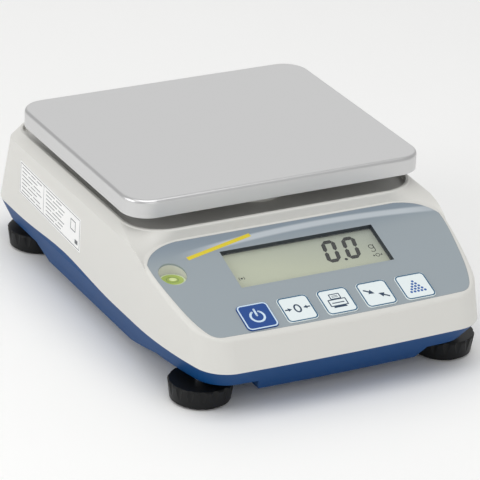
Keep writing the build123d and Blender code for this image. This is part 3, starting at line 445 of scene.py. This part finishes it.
def plane_of(origin, across, upward):
    """A drawing plane: a function from millimetres across, up and out of it to points in metres."""
    origin, across, upward = (np.asarray(v, float) for v in (origin, across, upward))
    outward = np.cross(across, upward)

    def points(x, v, height):
        x, v, height = np.broadcast_arrays(x, v, height)
        place = origin + x[..., None] * across + v[..., None] * upward + height[..., None] * outward
        return place * MM

    return points


def panel_plane(x, down, height):
    """The drawing plane on the panel about a point across, down its slope and out of it."""
    outward = np.cross((1, 0, 0), panel_up)
    origin = np.array(PANEL_FOOT) + (x, 0, 0) - down * np.array(panel_up) + height * outward
    return plane_of(origin, (1, 0, 0), panel_up)


def filled(outline):
    """Skin of a flat patch: its outline below and above, the two faces and the wall between them."""
    outline = np.asarray(outline, float)
    following = np.roll(outline, -1, axis=0)
    area = np.sum(outline[:, 0] * following[:, 1] - following[:, 0] * outline[:, 1])
    outline = outline if area > 0 else outline[::-1]
    count = len(outline)
    index = np.arange(count)
    wall = np.column_stack([index, (index + 1) % count, (index + 1) % count + count, index + count])
    faces = [index[::-1].tolist(), (index + count).tolist(), *wall.tolist()]
    return np.vstack([outline, outline]), np.repeat([0.0, 1.0], count), faces


def swept(inner, outer):
    """Skin between two closed lines: the four corners of its section, carried round."""
    count = len(inner)
    index, step = np.arange(count), (np.arange(count) + 1) % count
    faces = [np.column_stack([index + a * count, step + a * count, step + b * count, index + b * count])
             for a, b in ((0, 1), (1, 2), (2, 3), (3, 0))]
    heights = np.repeat([0.0, 0.0, 1.0, 1.0], count)
    return np.vstack([inner, outer, outer, inner]), heights, np.vstack(faces)[:, ::-1].tolist()


def line(path, width):
    """Skin of a drawn line: its path moved half a width to each side along the normal."""
    path = np.asarray(path, float)
    ahead = np.gradient(path, axis=0)
    ahead /= np.linalg.norm(ahead, axis=1)[:, None]
    side = np.column_stack([-ahead[:, 1], ahead[:, 0]]) * width / 2
    return filled(np.vstack([path + side, (path - side)[::-1]]))


def ring(path, width):
    """Skin of a closed line, whose path runs anticlockwise: moved half a width in and out."""
    path = np.asarray(path, float)
    ahead = np.roll(path, -1, axis=0) - np.roll(path, 1, axis=0)
    ahead /= np.linalg.norm(ahead, axis=1)[:, None]
    side = np.column_stack([-ahead[:, 1], ahead[:, 0]]) * width / 2
    return swept(path + side, path - side)


def frame_ring(half_width, half_height, width, middle=(0.0, 0.0)):
    """Skin of a rectangular frame: its square corners moved in and out along the diagonals."""
    diagonals = np.array([(-1, -1), (1, -1), (1, 1), (-1, 1)])
    corners = diagonals * (half_width, half_height) + middle
    return swept(corners - diagonals * width / 2, corners + diagonals * width / 2)


def arc(centre, radius, start, end, count=40):
    """Points of a circle's arc between two angles in degrees."""
    angle = np.radians(np.linspace(start, end, count))
    return np.column_stack([centre[0] + radius * np.cos(angle), centre[1] + radius * np.sin(angle)])


def ink(name, marks, plane, material, body, base=0.0, thickness=FILM):
    """One printed piece from its marks, laid on a drawing plane and carried by a body."""
    points, faces, start = [], [], 0
    for outline, share, skin in marks:
        points.append(plane(outline[:, 0], outline[:, 1], base + share * thickness))
        faces += [(np.array(face) + start).tolist() for face in skin]
        start += len(outline)
    mesh = bpy.data.meshes.new(name)
    mesh.from_pydata(np.vstack(points).tolist(), [], faces)
    mesh.materials.append(material)
    piece = bpy.data.objects.new(name, mesh)
    scene.collection.objects.link(piece)
    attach(piece, body)


def segment(start, end, width):
    """One display segment between two points: a bar with pointed ends."""
    start, end = np.asarray(start, float), np.asarray(end, float)
    ahead = (end - start) / np.linalg.norm(end - start)
    side = np.array([-ahead[1], ahead[0]]) * width / 2
    inset = ahead * width / 2
    return np.array([
        start, start + inset - side, end - inset - side, end, end - inset + side, start + inset + side,
    ])


def display_zero(middle):
    """The six segments of a zero, leaning to the right as the whole figure does."""
    half_w, half_h = (DIGIT_WIDTH - SEGMENT_WIDTH) / 2, (DIGIT_HEIGHT - SEGMENT_WIDTH) / 2
    gap = SEGMENT_GAP
    bars = [((-half_w + gap, level), (half_w - gap, level)) for level in (half_h, -half_h)]
    for side in (-half_w, half_w):
        bars += [((side, gap), (side, half_h - gap)), ((side, gap - half_h), (side, -gap))]
    marks = []
    for start, end in bars:
        outline = segment(start, end, SEGMENT_WIDTH)
        outline[:, 0] += middle + outline[:, 1] * DIGIT_SLANT
        marks.append(filled(outline))
    return marks


# Dark matt ABS for the frame, so that the sunk panel reads as deep, and a milky acrylic light guide.
finish_node("display_bezel", surface("dark_frame_abs", "343A42", 0.5, 0.5, 0.08))
finish_node("lcd_panel", lcd_face_painted_shade())
finish_node("display_backlight", surface("light_guide_acrylic", "E6E8E0", 0.3, 0.5, 0.02))
finish_node("display_window", clear_window())

sheet_border = frame_ring(
    (DISPLAY_SIGHT[0] + BORDER_WIDTH) / 2, (DISPLAY_SIGHT[1] + BORDER_WIDTH) / 2, BORDER_WIDTH,
)
ink("sheet_border", [sheet_border], panel_plane(0.0, DISPLAY_DOWN, 0.0), sheet_print, "base")

# The figures 0.0 with their point, the unit g, the sign of a true zero and the sign of rest.
figures = [
    *display_zero(FIRST_DIGIT), *display_zero(SECOND_DIGIT),
    filled(arc((27.4, -9.3), 1.15, 0, 345, 24)),
]
unit_g = [
    ring(arc((49.6, -2.2), 1.7, 0, 354, 36), 0.55),
    line(np.vstack([[[51.4, -0.4]], [[51.4, -5.2]], arc((49.6, -5.2), 1.8, -10, -150, 16)]), 0.55),
]
true_zero = [
    ring(arc((50.6, -10.6), 1.35, 0, 354, 36), 0.45),
    filled([(47.3, -9.7), (48.8, -10.6), (47.3, -11.5)]),
    filled([(53.9, -9.7), (53.9, -11.5), (52.4, -10.6)]),
]
rest_mark = [
    filled(arc((-50.4, -9.4), 0.75, 0, 345, 24)),
    line(arc((-50.4, -9.4), 1.9, 140, 220, 12), 0.45),
    line(arc((-50.4, -9.4), 1.9, -40, 40, 12), 0.45),
]
segment_black = surface("segment_black", "0C0E0F", 0.35, 0.4, 0.02)
lcd_plane = panel_plane(0.0, DIGITS_DOWN, -LCD_DEPTH)
ink("display_segments", figures + unit_g + true_zero + rest_mark, lcd_plane, segment_black, "base")

# Keys. Embossed domes of coloured film: four white ones with a dark line round them and printed
# signs, and the blue power key, whose line and sign are pale. All are satin, as their film is.
KEY_PITCH = 29.2
KEYS_DOWN = 79.0
KEY_HALF = 11.25
KEY_CORNER = 3.2
KEY_PROUD = 0.8
KEY_LINE = 0.95
KEY_LINE_INSET = 0.78
POWER_STROKE = 1.5
HEAP_ROWS, HEAP_FOOT = 5, -4.8
HEAP_DOT_RADIUS, HEAP_DOT_PITCH, HEAP_ROW_PITCH = 0.98, 2.6, 2.25


def arrow(tail, tip, width, head, head_length):
    """A drawn arrow as one outline, from its tail to its tip."""
    tail, tip = np.asarray(tail, float), np.asarray(tip, float)
    ahead = (tip - tail) / np.linalg.norm(tip - tail)
    side = np.array([-ahead[1], ahead[0]])
    neck = tip - ahead * head_length
    return filled([
        tail - side * width / 2, neck - side * width / 2, neck - side * head / 2, tip,
        neck + side * head / 2, neck + side * width / 2, tail + side * width / 2,
    ])


def round_line(path, width):
    """A drawn line with round ends."""
    path = np.asarray(path, float)
    ends = [filled(arc(end, width / 2, 0, 345, 20)) for end in (path[0], path[-1])]
    return [line(path, width), *ends]


def bar(left, right, low, high):
    """A plain printed bar."""
    return filled([(left, low), (right, low), (right, high), (left, high)])


def outline_loop(left, right, low, high, spacing=0.4):
    """Points along a rectangle at an even spacing, its corners kept."""
    corners = np.array([(left, low), (right, low), (right, high), (left, high)], float)
    sides = []
    for start, end in zip(corners, np.roll(corners, -1, axis=0)):
        count = max(2, int(np.linalg.norm(end - start) / spacing))
        sides.append(start + (end - start) * np.arange(count)[:, None] / count)
    return np.vstack(sides)


def rounded_square(half, radius, count=10):
    """Anticlockwise outline of a square with round corners about the origin."""
    corners = [(1, -1, -90), (1, 1, 0), (-1, 1, 90), (-1, -1, 180)]
    reach = half - radius
    return np.vstack([
        arc((a * reach, b * reach), radius, start, start + 90, count) for a, b, start in corners
    ])


signs = {
    "power": [
        *round_line(arc((0, -0.3), 4.7, 122, 418, 60), POWER_STROKE),
        *round_line([(0, 0.6), (0, 3.4), (0, 6.0)], POWER_STROKE),
    ],
    "zero": [
        ring(arc((0, 0), 1.0, 0, 354, 48) * (2.1, 3.2), 1.15),
        arrow((-9.2, 0), (-4.1, 0), 1.0, 3.1, 2.8),
        arrow((9.2, 0), (4.1, 0), 1.0, 3.1, 2.8),
    ],
    "print": [
        ring(outline_loop(-3.6, 3.6, 2.0, 6.2), 0.7),
        ring(outline_loop(-6.2, 6.2, -4.2, 1.4), 0.8),
        bar(-4.4, 4.4, -2.0, -1.2),
        filled([(-4.9, -5.9), (4.9, -5.9), (4.4, -4.6), (-4.4, -4.6)]),
        bar(-2.2, 2.2, 3.4, 3.8),
        bar(-2.2, 2.2, 4.5, 4.9),
    ],
    "unit": [
        arrow((-8.0, 4.4), (-1.2, 0.2), 1.2, 4.2, 3.9),
        arrow((8.0, -4.4), (1.2, -0.2), 1.2, 4.2, 3.9),
    ],
    "count": [
        filled(arc(
            ((column - (HEAP_ROWS - 1 - row) / 2) * HEAP_DOT_PITCH, row * HEAP_ROW_PITCH + HEAP_FOOT),
            HEAP_DOT_RADIUS, 0, 330, 12,
        ))
        for row in range(HEAP_ROWS) for column in range(HEAP_ROWS - row)
    ],
}
key_white = surface("key_film_white", "E9F2F3", 0.3, 0.35, 0.04)
key_blue = surface("key_film_blue", "0E4690", 0.3, 0.35, 0.04)
ink_dark = surface("ink_dark_blue", "1F3A55", 0.4, 0.35, 0.03)
ink_blue = surface("ink_blue", "2C5FA8", 0.4, 0.35, 0.03)
ink_line = surface("ink_key_line", "245C7C", 0.4, 0.35, 0.03)
ink_pale = surface("ink_pale", "CFE4F4", 0.4, 0.35, 0.03)
# Film, sign and line of the keys that differ from the white ones with dark signs.
KEY_INKS = {
    "power": (key_blue, ink_pale, ink_pale),
    "count": (key_white, ink_blue, ink_line),
}
key_outline = ring(rounded_square(KEY_HALF - KEY_LINE_INSET, KEY_CORNER - KEY_LINE_INSET / 2), KEY_LINE)
for step, (name, sign) in enumerate(signs.items()):
    film, sign_ink, edge_ink = KEY_INKS.get(name, (key_white, ink_dark, ink_line))
    finish_node("key_" + name, film)
    key_plane = panel_plane((step - len(signs) // 2) * KEY_PITCH, KEYS_DOWN, KEY_PROUD)
    ink("sign_" + name, sign, key_plane, sign_ink, "key_" + name)
    ink("edge_" + name, [key_outline], key_plane, edge_ink, "key_" + name)

# Level. A turned acrylic vial in its well: a pale polished rim, yellow green liquid that shines
# through its top, a bubble, and a fine dark ring that the bubble is centred in.
LEVEL_RIM, LEVEL_RIM_SOFT = 1.8, 0.3
LEVEL_RING_RADIUS, LEVEL_RING_WIDTH = 3.9, 0.4
BUBBLE_PLACE, BUBBLE_RADIUS, BUBBLE_HEIGHT = (0.5, 0.4), 2.6, 0.4
level_low, level_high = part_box("level_vial")
level_radius = (level_high.x - level_low.x) / 2 / MM
level_centre = (
    (level_low.x + level_high.x) / 2 / MM, (level_low.y + level_high.y) / 2 / MM, level_high.z / MM,
)


def level_liquid():
    """Liquid seen through the vial's top: the distance from its middle splits it from the pale rim."""
    material, tree, place = new_material("level_liquid")
    local = add_node(
        tree, "ShaderNodeVectorMath", {"operation": "SUBTRACT"},
        {0: place, 1: tuple(v * MM for v in level_centre)},
    )
    flat = add_node(
        tree, "ShaderNodeVectorMath", {"operation": "MULTIPLY"},
        {0: local.outputs["Vector"], 1: (1 / MM, 1 / MM, 0.0)},
    )
    reach = add_node(tree, "ShaderNodeVectorMath", {"operation": "LENGTH"}, {0: flat.outputs["Vector"]})
    rim_start = level_radius - LEVEL_RIM
    rim = add_node(
        tree, "ShaderNodeMapRange", {"interpolation_type": "SMOOTHSTEP"},
        {"Value": reach.outputs["Value"], "From Min": rim_start - LEVEL_RIM_SOFT,
         "From Max": rim_start + LEVEL_RIM_SOFT},
    )
    colour = add_node(
        tree, "ShaderNodeMix", {"data_type": "RGBA"},
        {"Factor": rim.outputs["Result"], 6: linear("A9BF55"), 7: linear("CFDBB6")},
    )
    show(tree, add_node(
        tree, "ShaderNodeBsdfPrincipled", {},
        {"Base Color": colour.outputs[2], "IOR": 1.49, "Coat Weight": 0.6, "Coat Roughness": 0.04,
         **grained(tree, place, 2.0, 0.08, 0.01, spread=0.03)},
    ))
    return material


def bubble_dome(name, centre, radius, height, material):
    """A shallow dome, z = height (1 - r^2 / radius^2), closed below by its flat face."""
    turns, rings = 48, 8
    angle = np.linspace(0, 2 * np.pi, turns, endpoint=False)
    share = np.linspace(1, 1 / rings, rings)
    x = centre[0] + radius * share[:, None] * np.cos(angle)
    y = centre[1] + radius * share[:, None] * np.sin(angle)
    z = centre[2] + height * (1 - share[:, None] ** 2) + 0 * angle
    points = np.stack([x, y, z], axis=-1).reshape(-1, 3)
    points = np.vstack([points, [[centre[0], centre[1], centre[2] + height]]]) * MM
    row, column = np.meshgrid(np.arange(rings - 1), np.arange(turns), indexing="ij")
    after = (column + 1) % turns
    quads = np.stack([
        row * turns + column, row * turns + after, (row + 1) * turns + after, (row + 1) * turns + column,
    ], axis=-1).reshape(-1, 4)
    index = np.arange(turns)
    last = (rings - 1) * turns
    top = np.column_stack([last + index, last + (index + 1) % turns, np.full(turns, rings * turns)])
    mesh = bpy.data.meshes.new(name)
    mesh.from_pydata(points.tolist(), [], [*quads.tolist(), *top.tolist(), index[::-1].tolist()])
    mesh.shade_smooth()
    mesh.materials.append(material)
    piece = bpy.data.objects.new(name, mesh)
    scene.collection.objects.link(piece)
    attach(piece, "base")


finish_node("level_vial", level_liquid())
level_plane = plane_of(level_centre, (1, 0, 0), (0, 1, 0))
level_ring = ring(arc((0, 0), LEVEL_RING_RADIUS, 0, 355, 72), LEVEL_RING_WIDTH)
ink("level_ring", [level_ring], level_plane, surface("level_ring_ink", "4E6A2A", 0.4, 0.35, 0.02), "base")
bubble_centre = (level_centre[0] + BUBBLE_PLACE[0], level_centre[1] + BUBBLE_PLACE[1], level_centre[2])
bubble_skin = surface("level_bubble", "DDE9A6", 0.06, 1.0, 0.0)
bubble_dome("level_bubble", bubble_centre, BUBBLE_RADIUS, BUBBLE_HEIGHT, bubble_skin)

# Side label. White polyester film, smoother than the wall, bonded in its recess. It is printed in
# grey with a thin frame, a dividing line, rows of plain bars and an empty box.
LABEL_MIDDLE = (-112.5, 62.5, 60.5)
LABEL_TILT = math.radians(2.3)
LABEL_SUNK = 0.05
LABEL_FILM = 0.02
LABEL_HALF_LENGTH, LABEL_HALF_HEIGHT = 50.0, 12.5
LABEL_MARGIN, LABEL_FRAME_WIDTH = 1.4, 0.5
LABEL_DIVIDER, LABEL_DIVIDER_HALF = -10.0, 0.2
LABEL_ROW_COUNT, LABEL_ROW_TOP, LABEL_ROW_PITCH, LABEL_BAR_HALF = 7, 8.6, 2.9, 0.3
LABEL_ROWS = [
    [(-46.0, -33.0), (-31.5, -24.0), (-22.0, -13.5), (-6.0, 8.0), (10.0, 19.0)],
    [(-46.0, -38.0), (-36.0, -21.0), (-6.0, 3.0), (5.0, 24.0)],
    [(-46.0, -29.0), (-27.0, -16.0), (-6.0, 12.0), (14.0, 22.0)],
]
LABEL_BOX_HALF, LABEL_BOX_WIDTH, LABEL_BOX_MIDDLE = 3.6, 0.7, (38.0, 3.0)
LABEL_BLOCK = (41.5, 46.0, -8.6, -5.6)

finish_node("side_label", surface("label_film", "F6F6F5", 0.32, 0.5, 0.02))
half_length, half_height = LABEL_HALF_LENGTH - LABEL_MARGIN, LABEL_HALF_HEIGHT - LABEL_MARGIN
label_frame = outline_loop(-half_length, half_length, -half_height, half_height, 2.0)
label_marks = [
    ring(label_frame, LABEL_FRAME_WIDTH),
    bar(LABEL_DIVIDER - LABEL_DIVIDER_HALF, LABEL_DIVIDER + LABEL_DIVIDER_HALF, -half_height, half_height),
    frame_ring(LABEL_BOX_HALF, LABEL_BOX_HALF, LABEL_BOX_WIDTH, LABEL_BOX_MIDDLE),
    bar(*LABEL_BLOCK),
]
for row in range(LABEL_ROW_COUNT):
    height = LABEL_ROW_TOP - row * LABEL_ROW_PITCH
    for left, right in LABEL_ROWS[row % len(LABEL_ROWS)]:
        label_marks.append(bar(left, right, height - LABEL_BAR_HALF, height + LABEL_BAR_HALF))
label_plane = plane_of(
    LABEL_MIDDLE, (0, -math.cos(LABEL_TILT), -math.sin(LABEL_TILT)),
    (0, -math.sin(LABEL_TILT), math.cos(LABEL_TILT)),
)
label_ink = surface("label_ink", "5C6065", 0.45, 0.4, 0.02)
ink("label_print", label_marks, label_plane, label_ink, "base", base=-LABEL_SUNK, thickness=LABEL_FILM)

# Boards and sockets. Glass fibre boards, screwed down, shine in green under their solder mask. The
# switches and the power jack are black nylon, and the data socket has a bright nickel plated shell.
solder_mask = surface("solder_mask", "14532F", 0.3, 0.6, 0.08, tint=0.08)
for name in ("display_board", "main_board"):
    finish_node(name, solder_mask)
nylon = surface("black_nylon_parts", "141416", 0.4, 0.6, 0.06)
for name in ("key_switches", "dc_jack"):
    finish_node(name, nylon)
finish_node("serial_socket", surface("nickel_shell", "B0B0B4", 0.28, 0.5, 0.05, metallic=1.0))

# Feet. Moulded black nylon knobs, satin with grips round them, on zinc plated studs that screw into
# the tray. Their soles are dull moulded rubber.
foot_black = surface("foot_nylon", "121314", 0.45, 0.8, 0.25, gloss=0.25)
sole_rubber = surface("sole_rubber", "161616", 0.8, 0.6, 0.2)
for corner in ("front_left", "front_right", "rear_left", "rear_right"):
    finish_node("foot_" + corner, foot_black)
    finish_node("foot_stud_" + corner, zinc)
    finish_node("foot_pad_" + corner, sole_rubber)
